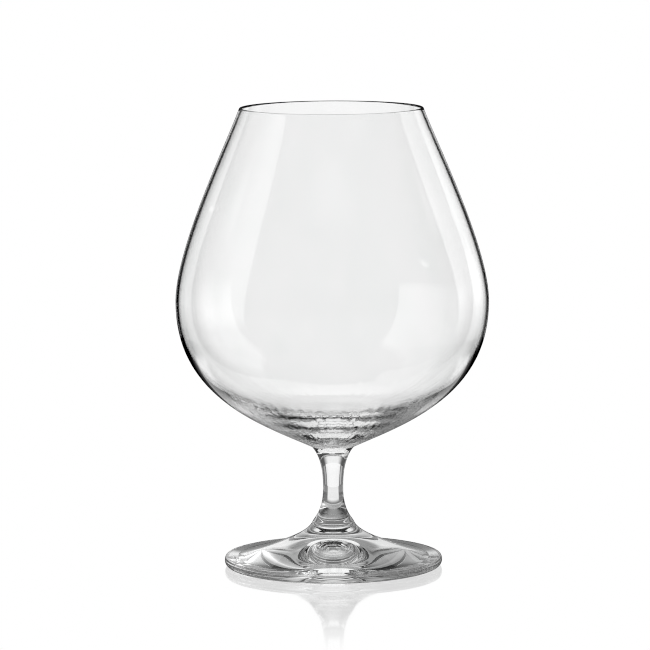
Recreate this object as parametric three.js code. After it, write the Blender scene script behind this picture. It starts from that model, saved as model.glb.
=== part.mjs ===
import * as THREE from 'three';

// A large brandy glass: a blown bowl, a drawn stem and a pressed foot, fused end to end.
// Millimetres, +Z up. The origin is on the table, under the middle of the foot.
// Every piece is a wall line, drawn as (radius, height), turned about the axis.

// Heights along the axis
const footHeight = 14.9; // table to the weld under the stem
const stemLength = 26.3; // weld to weld
const bowlHeight = 116.8; // upper weld to the crown of the lip

// Welds: neighbouring pieces meet on flat discs of these radii
const footWeldRadius = 7.2;
const bowlWeldRadius = 7.3;
const footWeldSlope = 67; // degrees, where the stem's flare runs on into the foot

// Bowl
const rimRadius = 31.5; // outside, just under the lip
const rimLean = 20; // degrees that the wall leans in at the lip
const bellyRadius = 53.7; // outside, at the widest place
const bellyHeight = 50.3; // of the widest place, above the upper weld
const bowlBaseSlope = 25; // degrees that the bowl climbs from its weld
const bowlWall = 1.1; // from the lip down to the belly
const bowlBaseWall = 7.4; // at the edge of the weld
const wallThickening = 3; // power of the swell from belly to weld
const rimFullness = 0.17; // these four are pulls of the wall line, as shares of its reach
const shoulderFullness = 0.28;
const hipFullness = 0.62;
const bowlBaseFullness = 0.48;

// Stem
const waistRadius = 3.45;
const waistHeight = 12.1; // above the lower weld
const stemHeadSlope = 50; // degrees, under the bowl
const stemHeadFullness = 0.2;
const upperWaistFullness = 0.6;
const lowerWaistFullness = 0.7;
const stemFlareFullness = 0.14;

// Foot
const footRadius = 37.5;
const footEdgeHeight = 3.1; // top of the narrow flat brim
const brimWidth = 4.6;
const coneSlope = 19; // degrees, where the cone comes down to the brim
const coneFullness = 0.04;
const footFlareFullness = 0.56;
const edgeTopRounding = 0.5; // across the edge, above its widest place
const edgeFootRounding = 1.5; // across the edge, below its widest place
const edgeWidestHeight = 1.75;
const restWidth = 5; // flat ring that stands on the table
const hollowDepth = 5.5; // of the bell-shaped hollow inside that ring
const hollowEdgeSlope = 3.2; // degrees, where the hollow comes down to the ring
const hollowCrownFullness = 0.26;
const hollowSkirtFullness = 0.58;

// Fineness of the facets
const segmentsAround = 48;
const stepsOnLongLines = 16;
const stepsOnMiddleLines = 8;
const stepsOnShortLines = 5;
const sameSpot = 0.01; // points of an outline closer than this are one point

const clearGlass = {
  color: 0xf4f7f6,
  roughness: 0.03,
  metalness: 0,
  transparent: true,
  opacity: 0.35,
};

function directionAt(degrees) {
  const angle = THREE.MathUtils.degToRad(degrees);
  return new THREE.Vector2(Math.cos(angle), Math.sin(angle));
}

// A smooth line that leaves one point along an angle and reaches the next along another
function wallLine(from, fromAngle, fromPull, to, toAngle, toPull) {
  const leaving = directionAt(fromAngle).multiplyScalar(fromPull).add(from);
  const arriving = directionAt(toAngle).multiplyScalar(-toPull).add(to);
  return new THREE.CubicBezierCurve(from, leaving, arriving, to);
}

function arc(centreRadius, centreHeight, across, up, fromAngle, toAngle) {
  const start = THREE.MathUtils.degToRad(fromAngle);
  const end = THREE.MathUtils.degToRad(toAngle);
  return new THREE.EllipseCurve(centreRadius, centreHeight, across, up, start, end);
}

// Joins lines and single points into one outline and leaves out points that repeat
function joinOutline(...stretches) {
  const outline = [];
  for (const stretch of stretches) {
    for (const point of stretch) {
      const last = outline[outline.length - 1];
      if (!last || last.distanceTo(point) > sameSpot) outline.push(point);
    }
  }
  return outline;
}

// The inside of a wall: points of its outer line, set in square to it by a thickness
function insideOf(line, thicknessAt, steps) {
  const points = [];
  for (let step = steps; step >= 0; step -= 1) {
    const share = step / steps;
    const along = line.getTangent(share);
    const inward = new THREE.Vector2(-along.y, along.x);
    points.push(line.getPoint(share).addScaledVector(inward, thicknessAt(share)));
  }
  return points;
}

function turnedPiece(name, outline, height) {
  const geometry = new THREE.LatheGeometry(outline, segmentsAround);
  geometry.rotateX(Math.PI / 2);
  const mesh = new THREE.Mesh(geometry, new THREE.MeshStandardMaterial(clearGlass));
  mesh.name = name;
  mesh.position.z = height;
  return mesh;
}

function bowlOutline() {
  const lipRadius = bowlWall / 2;
  const lipStart = bowlHeight - lipRadius * (1 - directionAt(rimLean).y);
  const weldEdge = new THREE.Vector2(bowlWeldRadius, 0);
  const belly = new THREE.Vector2(bellyRadius, bellyHeight);
  const rim = new THREE.Vector2(rimRadius, lipStart);
  const rise = lipStart - bellyHeight;
  const basePull = bowlBaseFullness * (bellyRadius - bowlWeldRadius);
  const lower = wallLine(weldEdge, bowlBaseSlope, basePull, belly, 90, hipFullness * bellyHeight);
  const upper = wallLine(belly, 90, shoulderFullness * rise, rim, 90 + rimLean, rimFullness * rise);

  const swell = bowlBaseWall - bowlWall;
  const lowerWall = (share) => bowlWall + swell * (1 - share) ** wallThickening;
  const insideUpper = insideOf(upper, () => bowlWall, stepsOnLongLines);
  const insideLower = insideOf(lower, lowerWall, stepsOnLongLines);

  const lipCentre = rim.clone().add(insideUpper[0]).multiplyScalar(0.5);
  const lip = arc(lipCentre.x, lipCentre.y, lipRadius, lipRadius, rimLean, rimLean + 180);

  // The floor runs on from the inside of the wall and levels out on the axis
  const [floorBefore, floorEdge] = insideLower.slice(-2);
  const floorSlope = (floorBefore.y - floorEdge.y) / (floorBefore.x - floorEdge.x);
  const floorBend = new THREE.Vector2(floorEdge.x / 2, floorEdge.y - (floorSlope * floorEdge.x) / 2);
  const floorMiddle = new THREE.Vector2(0, floorBend.y);
  const floor = new THREE.QuadraticBezierCurve(floorEdge, floorBend, floorMiddle);

  return joinOutline(
    [new THREE.Vector2(0, 0)],
    lower.getPoints(stepsOnLongLines),
    upper.getPoints(stepsOnLongLines),
    lip.getPoints(stepsOnShortLines),
    insideUpper,
    insideLower,
    floor.getPoints(stepsOnShortLines),
  );
}

function stemOutline() {
  const footEnd = new THREE.Vector2(footWeldRadius, 0);
  const waist = new THREE.Vector2(waistRadius, waistHeight);
  const bowlEnd = new THREE.Vector2(bowlWeldRadius, stemLength);
  const overWaist = stemLength - waistHeight;
  const flarePull = stemFlareFullness * waistHeight;
  const lowerPull = lowerWaistFullness * waistHeight;
  const upperPull = upperWaistFullness * overWaist;
  const headPull = stemHeadFullness * overWaist;
  const lower = wallLine(footEnd, 180 - footWeldSlope, flarePull, waist, 90, lowerPull);
  const upper = wallLine(waist, 90, upperPull, bowlEnd, stemHeadSlope, headPull);
  return joinOutline(
    [new THREE.Vector2(0, 0)],
    lower.getPoints(stepsOnMiddleLines),
    upper.getPoints(stepsOnMiddleLines),
    [new THREE.Vector2(0, stemLength)],
  );
}

function footOutline() {
  const coneEnd = new THREE.Vector2(footRadius - brimWidth, footEdgeHeight);
  const weldEdge = new THREE.Vector2(footWeldRadius, footHeight);
  const conePull = coneFullness * (coneEnd.x - footWeldRadius);
  const flarePull = footFlareFullness * (footHeight - footEdgeHeight);
  const cone = wallLine(coneEnd, 180 - coneSlope, conePull, weldEdge, 180 - footWeldSlope, flarePull);

  const restRadius = footRadius - edgeFootRounding;
  const hollowRadius = restRadius - restWidth;
  const hollowCrown = new THREE.Vector2(0, hollowDepth);
  const hollowEdge = new THREE.Vector2(hollowRadius, 0);
  const crownPull = hollowCrownFullness * hollowRadius;
  const skirtPull = hollowSkirtFullness * hollowRadius;
  const hollow = wallLine(hollowCrown, 0, crownPull, hollowEdge, -hollowEdgeSlope, skirtPull);
  const edgeBelow = arc(restRadius, edgeWidestHeight, edgeFootRounding, edgeWidestHeight, -90, 0);
  const edgeRise = footEdgeHeight - edgeWidestHeight;
  const edgeAbove = arc(footRadius - edgeTopRounding, edgeWidestHeight, edgeTopRounding, edgeRise, 0, 90);
  return joinOutline(
    hollow.getPoints(stepsOnMiddleLines),
    edgeBelow.getPoints(stepsOnShortLines),
    edgeAbove.getPoints(stepsOnShortLines),
    cone.getPoints(stepsOnLongLines),
    [new THREE.Vector2(0, footHeight)],
  );
}

const brandyGlass = new THREE.Group();
brandyGlass.add(turnedPiece('foot', footOutline(), 0));
brandyGlass.add(turnedPiece('stem', stemOutline(), footHeight));
brandyGlass.add(turnedPiece('bowl', bowlOutline(), footHeight + stemLength));

export default brandyGlass;
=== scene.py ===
import math
from functools import reduce
import bpy
import bmesh
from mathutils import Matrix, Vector
from mathutils.geometry import interpolate_bezier


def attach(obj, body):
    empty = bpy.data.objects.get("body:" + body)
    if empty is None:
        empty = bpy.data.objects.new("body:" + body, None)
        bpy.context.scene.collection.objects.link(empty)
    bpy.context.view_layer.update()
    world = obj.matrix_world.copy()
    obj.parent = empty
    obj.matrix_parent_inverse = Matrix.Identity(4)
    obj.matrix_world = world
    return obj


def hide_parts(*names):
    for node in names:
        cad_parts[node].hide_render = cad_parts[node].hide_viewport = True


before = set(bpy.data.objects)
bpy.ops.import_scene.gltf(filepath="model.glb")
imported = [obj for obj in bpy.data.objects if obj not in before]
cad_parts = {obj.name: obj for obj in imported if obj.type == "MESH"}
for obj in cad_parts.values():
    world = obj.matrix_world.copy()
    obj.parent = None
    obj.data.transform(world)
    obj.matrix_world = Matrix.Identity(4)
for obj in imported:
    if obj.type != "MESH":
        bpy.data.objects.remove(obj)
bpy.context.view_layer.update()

scene = bpy.context.scene
mm = 0.001  # sizes in the dictionaries are in millimetres, angles in degrees

welds = {  # flat discs on which the three pieces are fused
    "footHeight": 14.9,
    "footRadius": 7.2,
    "footSlope": 67,
    "bowlHeight": 41.2,
    "bowlRadius": 7.3,
}
turning = {
    "sameSpot": 0.005,  # lines share their ends
    "mergeWithin": 0.002,
    "weldWithin": 0.001,
    "weldLevel": 0.9999,  # upright part of a weld's normal
}


# lines that the pieces are turned from, as (radius, 0, height)

def heading(degrees):
    return Vector((math.cos(math.radians(degrees)), 0, math.sin(math.radians(degrees))))


def wallLine(start, startAngle, startPull, end, endAngle, endPull, steps):
    leaving = start + heading(startAngle) * startPull
    arriving = end - heading(endAngle) * endPull
    return interpolate_bezier(start, leaving, arriving, end, steps + 1)


def bendLine(start, bend, end, steps):
    return interpolate_bezier(start, start.lerp(bend, 2 / 3), end.lerp(bend, 2 / 3), end, steps + 1)


def arcLine(centre, across, up, startAngle, endAngle, steps):
    turn = (endAngle - startAngle) / steps
    spokes = [heading(startAngle + turn * step) for step in range(steps + 1)]
    return [centre + Vector((spoke.x * across, 0, spoke.z * up)) for spoke in spokes]


def insetLine(line, depthAt):
    inset = []
    last = len(line) - 1
    for place, point in enumerate(line):
        run = (line[min(place + 1, last)] - line[max(place - 1, 0)]).normalized()
        inset.append(point + Vector((-run.z, 0, run.x)) * depthAt(place / last))
    return inset


def turnPiece(outline, around):
    bm = bmesh.new()
    points = [bm.verts.new(outline[0] * mm)]
    for point in outline[1:]:
        if (point * mm - points[-1].co).length > turning["sameSpot"] * mm:
            points.append(bm.verts.new(point * mm))
    line = [bm.edges.new(pair) for pair in zip(points, points[1:])]
    bmesh.ops.spin(bm, geom=points + line, cent=(0, 0, 0), axis=(0, 0, 1), dvec=(0, 0, 0),
                   angle=math.tau, steps=around, use_merge=True)
    bmesh.ops.remove_doubles(bm, verts=bm.verts[:], dist=turning["mergeWithin"] * mm)
    bmesh.ops.recalc_face_normals(bm, faces=bm.faces[:])
    for face in bm.faces:
        face.smooth = True
    return bm


def isWeld(face, heights):
    level = abs(face.normal.z) > turning["weldLevel"]
    height = face.calc_center_median().z / mm
    return level and min(abs(height - weld) for weld in heights) < turning["weldWithin"]


def finishPiece(name, bm, glass, weldHeights, node):
    for face in bm.faces:
        if isWeld(face, weldHeights):
            face.material_index = 1
            face.smooth = False
    for edge in bm.edges:
        if len({face.material_index for face in edge.link_faces}) > 1:
            edge.smooth = False
    mesh = bpy.data.meshes.new(name)
    bm.to_mesh(mesh)
    bm.free()
    piece = bpy.data.objects.new(name, mesh)
    scene.collection.objects.link(piece)
    mesh.materials.append(glass)
    mesh.materials.append(weldGlass)
    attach(piece, "root")
    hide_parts(node)
    print(name, len(mesh.polygons), "faces")


# shader nodes

def linkNode(tree, kind, *sockets, **settings):
    node = tree.nodes.new("ShaderNode" + kind)
    for name, value in settings.items():
        setattr(node, name, value)
    for place, value in enumerate(sockets):
        if isinstance(value, bpy.types.NodeSocket):
            tree.links.new(value, node.inputs[place])
        elif value is not None:
            node.inputs[place].default_value = value
    return node


def mathNode(tree, operation, *sockets):
    return linkNode(tree, "Math", *sockets, operation=operation).outputs["Value"]


def product(tree, *values):
    return reduce(lambda total, value: mathNode(tree, "MULTIPLY", total, value), values)


def greatest(tree, *values):
    return reduce(lambda total, value: mathNode(tree, "MAXIMUM", total, value), values)


def fadeNode(tree, value, start, end, low, high):
    fade = linkNode(tree, "MapRange", value, start, end, low, high, interpolation_type="SMOOTHSTEP")
    return fade.outputs["Result"]


def fadeAlong(tree, value, span):  # from and to in mm, then the level at either end
    start, end, low, high = span
    return fadeNode(tree, value, start * mm, end * mm, low, high)


def fromAxis(tree, place):
    flat = linkNode(tree, "VectorMath", place, (1, 1, 0), operation="MULTIPLY").outputs["Vector"]
    return linkNode(tree, "VectorMath", flat, operation="LENGTH").outputs["Value"]


# glass

finishLook = {
    "detail": 1.5,  # of the striae
    "cords": (0.35, 0.75),  # part of the striae over which the cord's tint comes in
    "spotScale": 90,  # haze spots to a metre
    "spotDetail": 4,
    "spots": (0.7, 0.8),
}


def newFinish(look):  # what the making leaves on every face: striae, faint cords of tint, a touch of haze
    finish = bpy.data.node_groups.new("glassFinish", "ShaderNodeTree")
    for name, kind in (("Place", "Vector"), ("Clear", "Color"), ("Cord", "Color"), ("Haze", "Float")):
        finish.interface.new_socket(name, in_out="INPUT", socket_type="NodeSocket" + kind)
    for name, kind in (("Color", "Color"), ("Roughness", "Float"), ("Height", "Float")):
        finish.interface.new_socket(name, in_out="OUTPUT", socket_type="NodeSocket" + kind)
    given = finish.nodes.new("NodeGroupInput").outputs
    striae = linkNode(finish, "TexNoise", given["Place"])
    striae.inputs["Scale"].default_value = 1
    striae.inputs["Detail"].default_value = look["detail"]
    cords = fadeNode(finish, striae.outputs["Fac"], *look["cords"], 0, 1)
    tint = finish.nodes.new("ShaderNodeMix")
    tint.data_type = "RGBA"
    finish.links.new(cords, tint.inputs["Factor"])
    finish.links.new(given["Clear"], tint.inputs["A"])
    finish.links.new(given["Cord"], tint.inputs["B"])
    touch = linkNode(finish, "TexNoise", linkNode(finish, "TexCoord").outputs["Object"])
    touch.inputs["Scale"].default_value = look["spotScale"]
    touch.inputs["Detail"].default_value = look["spotDetail"]
    spots = fadeNode(finish, touch.outputs["Fac"], *look["spots"], 0, 1)
    out = finish.nodes.new("NodeGroupOutput").inputs
    finish.links.new(tint.outputs["Result"], out["Color"])
    finish.links.new(product(finish, spots, given["Haze"]), out["Roughness"])
    finish.links.new(striae.outputs["Fac"], out["Height"])
    return finish


glassFinish = newFinish(finishLook)


def newGlass(name, look):
    glass = bpy.data.materials.new(name)
    glass.use_nodes = True
    tree = glass.node_tree
    place = linkNode(tree, "TexCoord").outputs["Object"]
    if look["rings"]:  # pressed glass is marked in rings round the axis
        height = linkNode(tree, "SeparateXYZ", place).outputs["Z"]
        place = linkNode(tree, "CombineXYZ", fromAxis(tree, place), 0, height).outputs["Vector"]
    place = linkNode(tree, "Mapping", place)
    place.inputs["Scale"].default_value = [1 / (size * mm) for size in look["striae"]]
    finish = tree.nodes.new("ShaderNodeGroup")
    finish.node_tree = glassFinish
    tree.links.new(place.outputs["Vector"], finish.inputs["Place"])
    finish.inputs["Clear"].default_value = (*look["clear"], 1)
    finish.inputs["Cord"].default_value = (*look["cord"], 1)
    finish.inputs["Haze"].default_value = look["haze"]
    bump = tree.nodes.new("ShaderNodeBump")
    bump.inputs["Strength"].default_value = 1
    bump.inputs["Distance"].default_value = look["depth"] * mm
    tree.links.new(finish.outputs["Height"], bump.inputs["Height"])
    shader = tree.nodes["Principled BSDF"]
    shader.inputs["IOR"].default_value = look["ior"]
    shader.inputs["Transmission Weight"].default_value = 1
    tree.links.new(finish.outputs["Color"], shader.inputs["Base Color"])
    tree.links.new(finish.outputs["Roughness"], shader.inputs["Roughness"])
    tree.links.new(bump.outputs["Normal"], shader.inputs["Normal"])
    return glass


blownLook = {
    "clear": (1, 1, 1),
    "cord": (0.985, 0.99, 0.988),
    "striae": (11, 11, 26),  # mm from one to the next along x, y and z
    "depth": 0.006,  # mm
    "rings": False,
    "haze": 0.02,
    "ior": 1.5,
}
drawnLook = {
    "clear": (1, 1, 1),
    "cord": (0.98, 0.987, 0.984),
    "striae": (1.3, 1.3, 40),
    "depth": 0.004,
    "rings": False,
    "haze": 0.02,
    "ior": 1.5,
}
pressedLook = {
    "clear": (1, 1, 1),
    "cord": (0.965, 0.98, 0.975),
    "striae": (2.6, 1, 9),
    "depth": 0.005,
    "rings": True,
    "haze": 0.03,
    "ior": 1.5,
}
blownGlass = newGlass("blownGlass", blownLook)
drawnGlass = newGlass("drawnGlass", drawnLook)
pressedGlass = newGlass("pressedGlass", pressedLook)

weldGlass = bpy.data.materials.new("weldGlass")  # inside the fused glass nothing shows
weldGlass.use_nodes = True
weldGlass.node_tree.nodes["Principled BSDF"].inputs["Alpha"].default_value = 0
print("glass ready")


# bowl

bowl = {
    "base": welds["bowlHeight"],
    "height": 116.8,
    "weldRadius": welds["bowlRadius"],
    "baseSlope": 25,
    "baseFullness": 0.48,
    "bellyRadius": 53.7,
    "bellyHeight": 50.3,
    "hipFullness": 0.62,
    "shoulderFullness": 0.28,
    "rimRadius": 31.5,
    "rimLean": 20,
    "rimFullness": 0.17,
    "wall": 1.1,
    "baseWall": 7.4,
    "wallThickening": 3,
    "ripples": [(41, 0.3, 0.12), (58, 1.9, -0.2), (77, 4.1, 0.16)],  # waves round, start, twist to a mm
    "rippleDepth": 0.014,
    "rippleRise": (1.2, 4.5),  # over the weld, where the ripples start and are full
    "rippleFall": (13, 23),
    "steps": 56,
    "lipSteps": 12,
    "floorSteps": 8,
    "around": 360,
}


def bowlOutline(size):
    lip = size["wall"] / 2
    lipStart = size["height"] - lip * (1 - heading(size["rimLean"]).z)
    weldEdge = Vector((size["weldRadius"], 0, 0))
    belly = Vector((size["bellyRadius"], 0, size["bellyHeight"]))
    rim = Vector((size["rimRadius"], 0, lipStart))
    rise = lipStart - size["bellyHeight"]
    basePull = size["baseFullness"] * (size["bellyRadius"] - size["weldRadius"])
    hipPull = size["hipFullness"] * size["bellyHeight"]
    lower = wallLine(weldEdge, size["baseSlope"], basePull, belly, 90, hipPull, size["steps"])
    upper = wallLine(belly, 90, size["shoulderFullness"] * rise, rim, 90 + size["rimLean"],
                     size["rimFullness"] * rise, size["steps"])
    outside = lower + upper[1:]
    swell = size["baseWall"] - size["wall"]

    def wallAt(share):  # the swell ends at the belly, halfway along the line
        return size["wall"] + swell * max(0, 1 - 2 * share) ** size["wallThickening"]

    inside = insetLine(outside, wallAt)
    lipCentre = (rim + inside[-1]) / 2
    lipArc = arcLine(lipCentre, lip, lip, size["rimLean"], size["rimLean"] + 180, size["lipSteps"])
    floorEdge, floorNext = inside[:2]
    fall = (floorNext.z - floorEdge.z) / (floorNext.x - floorEdge.x)
    bend = Vector((floorEdge.x / 2, 0, floorEdge.z - fall * floorEdge.x / 2))
    floor = bendLine(floorEdge, bend, Vector((0, 0, bend.z)), size["floorSteps"])
    outline = [Vector((0, 0, 0))] + outside + lipArc + inside[::-1] + floor
    return [point + Vector((0, 0, size["base"])) for point in outline]


def easeIn(value, start, end):
    share = min(max((value - start) / (end - start), 0), 1)
    return share * share * (3 - 2 * share)


def rippleBase(bm, size):  # the mould leaves fine flutes in the thick glass over the stem
    bm.normal_update()
    for vert in bm.verts:
        height = vert.co.z / mm - size["base"]
        share = easeIn(height, *size["rippleRise"]) * (1 - easeIn(height, *size["rippleFall"]))
        turn = math.atan2(vert.co.y, vert.co.x)
        wave = 0
        for count, start, twist in size["ripples"]:
            wave += math.sin(count * turn + start + twist * height)
        vert.co += vert.normal * wave * share * size["rippleDepth"] * mm


bowlMesh = turnPiece(bowlOutline(bowl), bowl["around"])
rippleBase(bowlMesh, bowl)
finishPiece("bowlGlass", bowlMesh, blownGlass, [welds["bowlHeight"]], "bowl")


# stem

stem = {
    "base": welds["footHeight"],
    "length": welds["bowlHeight"] - welds["footHeight"],
    "footRadius": welds["footRadius"],
    "footSlope": welds["footSlope"],
    "flareFullness": 0.14,
    "waistRadius": 3.45,
    "waistHeight": 12.1,
    "lowerFullness": 0.7,
    "upperFullness": 0.6,
    "headRadius": welds["bowlRadius"],
    "headSlope": 50,
    "headFullness": 0.2,
    "steps": 40,
    "around": 96,
}


def stemOutline(size):
    footEnd = Vector((size["footRadius"], 0, 0))
    waist = Vector((size["waistRadius"], 0, size["waistHeight"]))
    headEnd = Vector((size["headRadius"], 0, size["length"]))
    over = size["length"] - size["waistHeight"]
    lower = wallLine(footEnd, 180 - size["footSlope"], size["flareFullness"] * size["waistHeight"],
                     waist, 90, size["lowerFullness"] * size["waistHeight"], size["steps"])
    upper = wallLine(waist, 90, size["upperFullness"] * over,
                     headEnd, size["headSlope"], size["headFullness"] * over, size["steps"])
    outline = [Vector((0, 0, 0))] + lower + upper + [Vector((0, 0, size["length"]))]
    return [point + Vector((0, 0, size["base"])) for point in outline]


stemMesh = turnPiece(stemOutline(stem), stem["around"])
stemEnds = [welds["footHeight"], welds["bowlHeight"]]
finishPiece("stemGlass", stemMesh, drawnGlass, stemEnds, "stem")


# foot

foot = {
    "height": welds["footHeight"],
    "weldRadius": welds["footRadius"],
    "weldSlope": welds["footSlope"],
    "flareFullness": 0.56,
    "coneSlope": 19,
    "coneFullness": 0.04,
    "radius": 37.5,
    "edgeHeight": 3.1,
    "brimWidth": 4.6,
    "edgeTop": 0.5,
    "edgeFoot": 1.5,
    "edgeWidest": 1.75,
    "restWidth": 5,
    "hollowDepth": 5.5,
    "hollowEdgeSlope": 3.2,
    "hollowCrown": 0.26,
    "hollowSkirt": 0.58,
    "steps": 48,
    "edgeSteps": 10,
    "around": 180,
}


def footOutline(size):
    restRadius = size["radius"] - size["edgeFoot"]
    hollowRadius = restRadius - size["restWidth"]
    crown = Vector((0, 0, size["hollowDepth"]))
    hollow = wallLine(crown, 0, size["hollowCrown"] * hollowRadius, Vector((hollowRadius, 0, 0)),
                      -size["hollowEdgeSlope"], size["hollowSkirt"] * hollowRadius, size["steps"])
    widest = size["edgeWidest"]
    below = arcLine(Vector((restRadius, 0, widest)), size["edgeFoot"], widest, -90, 0, size["edgeSteps"])
    above = arcLine(Vector((size["radius"] - size["edgeTop"], 0, widest)), size["edgeTop"],
                    size["edgeHeight"] - widest, 0, 90, size["edgeSteps"])
    coneEnd = Vector((size["radius"] - size["brimWidth"], 0, size["edgeHeight"]))
    weldEdge = Vector((size["weldRadius"], 0, size["height"]))
    conePull = size["coneFullness"] * (coneEnd.x - weldEdge.x)
    flarePull = size["flareFullness"] * (weldEdge.z - coneEnd.z)
    cone = wallLine(coneEnd, 180 - size["coneSlope"], conePull,
                    weldEdge, 180 - size["weldSlope"], flarePull, size["steps"])
    return hollow + below + above + cone + [Vector((0, 0, size["height"]))]


footMesh = turnPiece(footOutline(foot), foot["around"])
finishPiece("footGlass", footMesh, pressedGlass, [welds["footHeight"]], "foot")


# studio: some lights are kept for some rays, by what the glass did to them

def solidRays(tree):  # light that crossed one solid piece, such as the stem
    return mathNode(tree, "COMPARE", linkNode(tree, "LightPath").outputs["Transmission Depth"], 2, 0.5)


def mirroredRays(tree):  # light that a face of the glass has mirrored; the table's polish is not as sharp
    ray = linkNode(tree, "LightPath")
    polish = mathNode(tree, "SUBTRACT", ray.outputs["Is Glossy Ray"], ray.outputs["Is Singular Ray"])
    mirrorings = mathNode(tree, "SUBTRACT", ray.outputs["Glossy Depth"], polish)
    return mathNode(tree, "GREATER_THAN", mirrorings, 0.5)


def straightRays(tree):
    return mathNode(tree, "SUBTRACT", 1, mirroredRays(tree))


def straightSolidRays(tree):
    return product(tree, solidRays(tree), straightRays(tree))


def newPaint(name):
    paint = bpy.data.materials.new(name)
    paint.use_nodes = True
    paint.node_tree.nodes.clear()
    return paint, paint.node_tree


def showTo(tree, mask, light):
    clear = linkNode(tree, "BsdfTransparent").outputs[0]
    return linkNode(tree, "MixShader", mask, clear, light).outputs[0]


def stageSheet(name, bm, paint):
    sheet = bpy.data.objects.new(name, bpy.data.meshes.new(name))
    bm.to_mesh(sheet.data)
    bm.free()
    scene.collection.objects.link(sheet)
    sheet.data.materials.append(paint)
    sheet.visible_camera = False
    return sheet


# upright cards: posts are x, y, strength and, where it differs, the strength low down

lowLight = 131  # height up to which the strength low down holds


def nearestPost(vert, posts):
    return min(posts, key=lambda post: (vert.co.xy - Vector(post[:2]) * mm).length)


def lightCard(name, posts, levels, shownTo=None):
    bm = bmesh.new()
    glow = bm.verts.layers.float.new("glow")
    row = [bm.verts.new((x * mm, y * mm, levels[0][0] * mm)) for x, y, *strengths in posts]
    edges = [bm.edges.new(pair) for pair in zip(row, row[1:])]
    for level, (height, share) in enumerate(levels):
        if level:
            raised = bmesh.ops.extrude_edge_only(bm, edges=edges)["geom"]
            row = [item for item in raised if isinstance(item, bmesh.types.BMVert)]
            edges = [item for item in raised if isinstance(item, bmesh.types.BMEdge)]
            bmesh.ops.translate(bm, verts=row, vec=(0, 0, (height - levels[level - 1][0]) * mm))
        for vert in row:
            vert[glow] = share * nearestPost(vert, posts)[2 if height > lowLight else -1]
    paint, tree = newPaint(name)
    strength = linkNode(tree, "Attribute", attribute_name="glow").outputs["Fac"]
    light = linkNode(tree, "Emission", None, strength).outputs[0]
    if shownTo:
        light = showTo(tree, shownTo(tree), light)
    linkNode(tree, "OutputMaterial", light)
    return stageSheet(name, bm, paint)


def curvedPosts(away, stations):
    posts = []
    for degrees, *strengths in stations:  # 0 is towards the camera, 90 to its left, 180 behind the glass
        turn = math.radians(degrees)
        posts.append((-away * math.sin(turn), -away * math.cos(turn), *strengths))
    return posts


softBoxes = {  # posts as degrees and strengths
    "away": 200,
    "left": [(59, 1.0), (65, 1.15), (72, 1.15), (85, 0.8), (100, 0.6), (106, 0.6, 0.45), (114, 0.6, 0.35),
             (122, 0.6, 0.5), (129, 0.55), (136, 0.3), (142, 0)],
    "leftLevels": [(40, 0), (75, 1), (115, 1), (140, 1), (340, 0.9)],  # height and share of the strength
    "leftTop": [(134, 0.9), (154, 0.9)],
    "leftTopLevels": [(165, 0), (215, 1), (420, 1)],
    "right": [(-94, 1.15), (-108, 1.1, 0.9), (-114, 1.1), (-118, 1.1, 1.45), (-126, 1.1, 1.45),
              (-132, 0.95), (-139, 0.5), (-145, 0)],
    "rightLevels": [(20, 0), (100, 1), (115, 1), (140, 1), (340, 0.9)],
}
for name, side in (("leftBox", "left"), ("leftTop", "leftTop"), ("rightBox", "right")):
    boxPosts = curvedPosts(softBoxes["away"], softBoxes[side])
    lightCard(name, boxPosts, softBoxes[side + "Levels"], mirroredRays)

backCards = {
    "away": 158,
    "sides": [(25, 1.0), (50, 0.97), (76, 0.85)],  # mm to either side, strength of the low card there
    "seam": 50,  # height where the low card ends and the high one starts
    "top": 320,
}
lowPosts = [(x, backCards["away"], strength) for x, strength in backCards["sides"]]
lowPosts = [(-x, y, strength) for x, y, strength in reversed(lowPosts)] + lowPosts
highPosts = [(x, y, 1) for x, y, strength in (lowPosts[0], lowPosts[-1])]
seam = backCards["seam"]
hidden = [  # seen through the glass, and not mirrored on its outside
    lightCard("backLow", lowPosts, [(0, 1), (seam, 1)], straightRays),
    lightCard("backHigh", highPosts, [(seam, 1), (backCards["top"], 1)]),
]

skirts = {  # grey and light stripes low down, for the stem and the foot
    "away": 190,
    "left": [(55, 0.2), (80, 0.3), (88, 0.5), (104, 0.4), (112, 0.08), (130, 0.1), (138, 0.22), (143, 0.5),
             (149, 0.5), (152, 0.14), (154, 0.14)],
    "right": [(-55, 0.5), (-70, 1.0), (-104, 0.5), (-112, 0.08), (-130, 0.1), (-138, 0.22), (-143, 0.4),
              (-149, 0.4), (-152, 0.14), (-154, 0.14)],
    "levels": [(0, 1), (30, 1), (60, 0.9)],
}
for name, side in (("leftSkirt", "left"), ("rightSkirt", "right")):
    skirtPosts = curvedPosts(skirts["away"], skirts[side])
    hidden.append(lightCard(name, skirtPosts, skirts["levels"], straightSolidRays))
print("cards ready")


# level rings that shine downwards and are clear from above

ringSegments = 64


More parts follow.
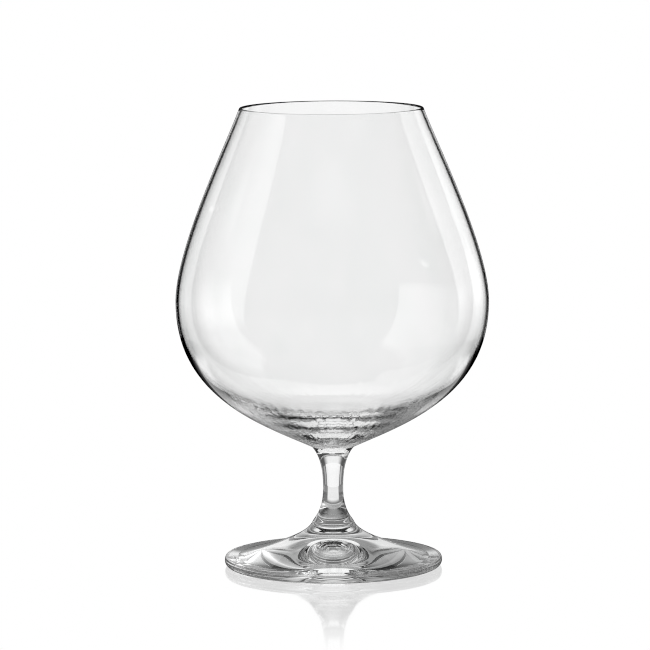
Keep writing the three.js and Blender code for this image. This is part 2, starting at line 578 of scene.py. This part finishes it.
def greyRing(name, ring, levelAt, shownTo=None):
    bm = bmesh.new()
    bmesh.ops.create_circle(bm, segments=ringSegments, radius=ring["inner"] * mm)
    grown = bmesh.ops.extrude_edge_only(bm, edges=bm.edges[:])["geom"]
    edge = [item for item in grown if isinstance(item, bmesh.types.BMVert)]
    growth = ring["outer"] / ring["inner"]
    bmesh.ops.scale(bm, verts=edge, vec=(growth, growth, 1))
    bmesh.ops.translate(bm, verts=bm.verts[:], vec=(0, 0, ring["height"] * mm))
    bmesh.ops.recalc_face_normals(bm, faces=bm.faces[:])
    if bm.faces[:][0].normal.z < 0:
        bmesh.ops.reverse_faces(bm, faces=bm.faces[:])
    paint, tree = newPaint(name)
    place = linkNode(tree, "TexCoord").outputs["Object"]
    grey = linkNode(tree, "Emission", None, levelAt(tree, ring, place)).outputs[0]
    seen = linkNode(tree, "NewGeometry").outputs["Backfacing"]
    if shownTo:
        seen = product(tree, seen, shownTo(tree))
    linkNode(tree, "OutputMaterial", showTo(tree, seen, grey))
    return stageSheet(name, bm, paint)


footSky = {  # mirrored by the upper face of the foot
    "inner": 60,
    "outer": 520,
    "height": 50,
    "end": (300, 520, 1, 0),  # fades: from and to in mm, then the level at either end
    "across": (-60, 60, 1.1, 0.65),
    "start": (60, 120, 0.4, 1),
}


def skyLevel(tree, ring, place):
    away = fromAxis(tree, place)
    across = linkNode(tree, "SeparateXYZ", place).outputs["X"]
    ends = product(tree, fadeAlong(tree, away, ring["end"]), fadeAlong(tree, away, ring["start"]))
    return product(tree, ends, fadeAlong(tree, across, ring["across"]))


footShade = {  # light and dark fields inside the foot
    "inner": 24,
    "outer": 158,
    "height": 24,
    "back": (50, 78, 0.36, 0.9),
    "backSide": (12, 26, 1, 0.12),
    "farBack": (85, 100, 0, 0.35),
    "right": (25, 45, 0, 1.3),
    "rightBack": (50, 90, 1, 0.35),
    "left": (-28, -50, 0, 0.5),
    "leftBack": (60, 100, 1, 0.6),
}


def footLevel(tree, ring, place):
    spot = linkNode(tree, "SeparateXYZ", place).outputs
    across = spot["X"]
    behind = spot["Y"]
    aside = mathNode(tree, "ABSOLUTE", across)
    back = product(tree, fadeAlong(tree, behind, ring["back"]), fadeAlong(tree, aside, ring["backSide"]))
    farBack = fadeAlong(tree, behind, ring["farBack"])
    right = product(tree, fadeAlong(tree, across, ring["right"]), fadeAlong(tree, behind, ring["rightBack"]))
    left = product(tree, fadeAlong(tree, across, ring["left"]), fadeAlong(tree, behind, ring["leftBack"]))
    return greatest(tree, back, farBack, right, left)


headShade = {  # dark flecks beside the head of the stem
    "inner": 40,
    "outer": 190,
    "height": 60,
    "slant": (0.2, 0.6, 0.93, 0.1),  # aside to behind, then the level at either end
    "leastBehind": 1,
}


def headLevel(tree, ring, place):
    spot = linkNode(tree, "SeparateXYZ", place).outputs
    depth = greatest(tree, spot["Y"], ring["leastBehind"] * mm)
    slant = mathNode(tree, "DIVIDE", mathNode(tree, "ABSOLUTE", spot["X"]), depth)
    return fadeNode(tree, slant, *ring["slant"])


ceiling = {
    "inner": 5,
    "outer": 140,
    "height": 350,
    "fall": (20, 60, 0.75, 0.12),
}


def ceilingLevel(tree, ring, place):
    return fadeAlong(tree, fromAxis(tree, place), ring["fall"])


sky = greyRing("footSky", footSky, skyLevel, mirroredRays)
sky.visible_transmission = False
hidden.append(greyRing("footShade", footShade, footLevel))
hidden.append(greyRing("headShade", headShade, headLevel, straightSolidRays))
hidden.append(greyRing("ceiling", ceiling, ceilingLevel, solidRays))
for sheet in hidden:
    sheet.visible_glossy = False
print("rings ready")


# table

table = {
    "drop": 0.3,  # under the foot, so that the two never share a plane
    "radius": 1600,
    "segments": 96,
    "white": 1.0,
    "polish": 0.05,  # roughness
    "mirrorSize": (75, 130),  # half sizes of the oval that mirrors the glass
    "mirrorAhead": 26,  # how far its middle lies towards the camera
    "mirror": (0.35, 1, 0.36, 0),  # share of the oval's reach, then the mirrored share
}
tableGlow = {  # the table as the glass sees it, painted with light and shade: from and to in mm, then the level at either end
    # ahead and pool: a painted pool of light on the table in front of the glass
    "ahead": (-20, -50, 0, 1),
    "pool": (45, 78, 1, 0.1),
    "path": (40, 65, 0.1, 0.88),  # a painted path of light behind the glass
    "pathEnd": (200, 250, 1, 0),
    "pathSide": (0.95, 1.35, 1, 0.1),  # in half widths of the path
    "pathSpread": (0.37, 0.42),  # half width for each mm behind, for straight and for mirrored light
    "pathOffset": (0, -16),
    "pathLeast": (20, 11.5),
    "walls": (50, 100, 0.45, 0.97),  # through both walls of the bowl
    "shade": (80, 110, 0, 0.24),  # a grey band of painted shade in it
    "shadeEnd": (160, 190, 1, 0),
    "shadeSide": (60, 90, 1, 0),
    "distant": (200, 260, 0, 1),
    "wide": (60, 130, 0.1, 0.26),  # through one solid piece
    "wideStart": (0, 30, 0, 1),
    "wideNear": (75, 100, 0.2, 0.05),
    "wideEnd": (150, 260, 1, 0),
    "near": (150, 250, 0.12, 0),
    "flank": (50, 80, 0, 0.9),  # mirrored in the bowl's base
    "flankEnd": (130, 155, 1, 0),
    "flankSide": (45, 60, 0, 1),
    "flankWidth": (140, 180, 1, 0),
}
footGlow = {  # the table under the foot: painted shade, with lighter painted spots
    "mirrored": (-10, 4, 0.1, 0.6),
    "mirroredStart": (14, 24, 0, 1),
    "mirroredEnd": (29.5, 34.5, 1, 0.2),
    "middle": (1, 8, 0.33, 0.04),
    "middleEnd": (14, 24, 1, 0),
    "straight": (0, 20, 0.8, 0.5),
    "edge": (36, 42, 0, 1),
}


def tableLevel(tree, place, ray):  # how bright each spot of the table looks to the glass: painted light and shade
    spot = linkNode(tree, "SeparateXYZ", place).outputs
    across = spot["X"]
    behind = spot["Y"]
    aside = mathNode(tree, "ABSOLUTE", across)
    away = fromAxis(tree, place)
    straight = straightRays(tree)

    def fades(spans, value, *names):
        return product(tree, *[fadeAlong(tree, value, spans[name]) for name in names])

    def either(levels, unit=1):  # the first level for straight light, the second for mirrored
        seen, mirrored = [level * unit for level in levels]
        return mathNode(tree, "MULTIPLY_ADD", straight, seen - mirrored, mirrored)

    spread = product(tree, behind, either(tableGlow["pathSpread"]))
    reach = mathNode(tree, "ADD", spread, either(tableGlow["pathOffset"], mm))
    reach = greatest(tree, reach, either(tableGlow["pathLeast"], mm))
    slant = mathNode(tree, "DIVIDE", aside, reach)
    path = product(tree, fades(tableGlow, behind, "path"), fades(tableGlow, away, "pathEnd"),
                   fadeNode(tree, slant, *tableGlow["pathSide"]), ray["Is Transmission Ray"])

    pool = product(tree, fades(tableGlow, behind, "ahead"), fades(tableGlow, away, "pool"))

    shade = product(tree, fades(tableGlow, behind, "shade", "shadeEnd"),
                    fades(tableGlow, aside, "shadeSide"))
    bothWalls = mathNode(tree, "GREATER_THAN", ray["Transmission Depth"], 3)
    walls = product(tree, mathNode(tree, "SUBTRACT", fades(tableGlow, away, "walls"), shade), bothWalls)
    far = product(tree, greatest(tree, walls, fades(tableGlow, away, "distant")), straight)

    wide = product(tree, fades(tableGlow, behind, "wideStart"), fades(tableGlow, away, "wide"))
    wide = greatest(tree, wide, fades(tableGlow, away, "wideNear"))
    wide = product(tree, wide, fades(tableGlow, away, "wideEnd"), solidRays(tree))

    flank = product(tree, fades(tableGlow, behind, "flank", "flankEnd"),
                    fades(tableGlow, aside, "flankSide", "flankWidth"), mirroredRays(tree))
    around = greatest(tree, pool, path, far, wide, fades(tableGlow, away, "near"), flank)

    # painted shade under the foot, with lighter painted spots in it
    under = product(tree, fades(footGlow, across, "mirrored"),
                    fades(footGlow, away, "mirroredStart", "mirroredEnd"))
    middle = product(tree, fades(footGlow, aside, "middle"), fades(footGlow, away, "middleEnd"))
    through = product(tree, straight, fades(footGlow, behind, "straight"))
    under = greatest(tree, through, mathNode(tree, "ADD", under, middle))
    beyond = mathNode(tree, "SUBTRACT", around, under)
    return mathNode(tree, "MULTIPLY_ADD", beyond, fades(footGlow, away, "edge"), under)


def tableMirror(tree, place):  # how much of the glass the camera sees in the table
    scale = [1 / (size * mm) for size in table["mirrorSize"]]
    shift = table["mirrorAhead"] / table["mirrorSize"][1]
    oval = linkNode(tree, "VectorMath", place, (*scale, 0), (0, shift, 0), operation="MULTIPLY_ADD")
    reach = linkNode(tree, "VectorMath", oval.outputs["Vector"], operation="LENGTH").outputs["Value"]
    return fadeNode(tree, reach, *table["mirror"])


bm = bmesh.new()
bmesh.ops.create_circle(bm, cap_ends=True, segments=table["segments"], radius=table["radius"] * mm)
bmesh.ops.translate(bm, verts=bm.verts[:], vec=(0, 0, -table["drop"] * mm))
paint, tree = newPaint("acrylic")
place = linkNode(tree, "TexCoord").outputs["Object"]
ray = linkNode(tree, "LightPath").outputs
gloss = linkNode(tree, "BsdfGlossy", (1, 1, 1, 1), table["polish"]).outputs[0]
white = linkNode(tree, "Emission", None, table["white"]).outputs[0]
polished = linkNode(tree, "MixShader", tableMirror(tree, place), white, gloss).outputs[0]
# to the glass the table glows with the painted light and shade of tableLevel
lit = linkNode(tree, "Emission", None, tableLevel(tree, place, ray)).outputs[0]
choose = linkNode(tree, "MixShader", ray["Is Camera Ray"], lit, polished).outputs[0]
linkNode(tree, "OutputMaterial", choose)
tableTop = stageSheet("tableTop", bm, paint)
tableTop.visible_camera = True
print("table ready")


# room

room = {
    "colour": (1, 1, 1, 1),
    "mirrored": 0.02,  # white, but the glass mirrors a dark room
}
world = bpy.data.worlds.new("studio")
scene.world = world
world.use_nodes = True
tree = world.node_tree
tree.nodes.clear()
roomLight = greatest(tree, straightRays(tree), room["mirrored"])
linkNode(tree, "OutputWorld", linkNode(tree, "Background", room["colour"], roomLight).outputs[0])
print("room ready")


# camera

view = {
    "away": 1400,
    "height": 264.5,
    "tilt": 7.377,  # degrees down
    "pan": 0.0655,
    "roll": 0.29,
    "lens": 227.97,
    "sensor": 36,
    "clipEnd": 20000,
}
lens = bpy.data.cameras.new("camera")
lens.sensor_fit = "HORIZONTAL"
lens.sensor_width = view["sensor"]
lens.lens = view["lens"]
lens.clip_end = view["clipEnd"] * mm
camera = bpy.data.objects.new("camera", lens)
scene.collection.objects.link(camera)
camera.rotation_mode = "XYZ"
camera.location = (0, -view["away"] * mm, view["height"] * mm)
turns = (90 - view["tilt"], view["roll"], view["pan"])
camera.rotation_euler = [math.radians(turn) for turn in turns]
scene.camera = camera

scene.view_settings.view_transform = "Standard"
scene.cycles.filter_width = 1.1
scene.cycles.max_bounces = 40  # light crosses many faces in the base and the foot
scene.cycles.glossy_bounces = 24
scene.cycles.transmission_bounces = 40
scene.cycles.transparent_max_bounces = 40
print("camera ready")
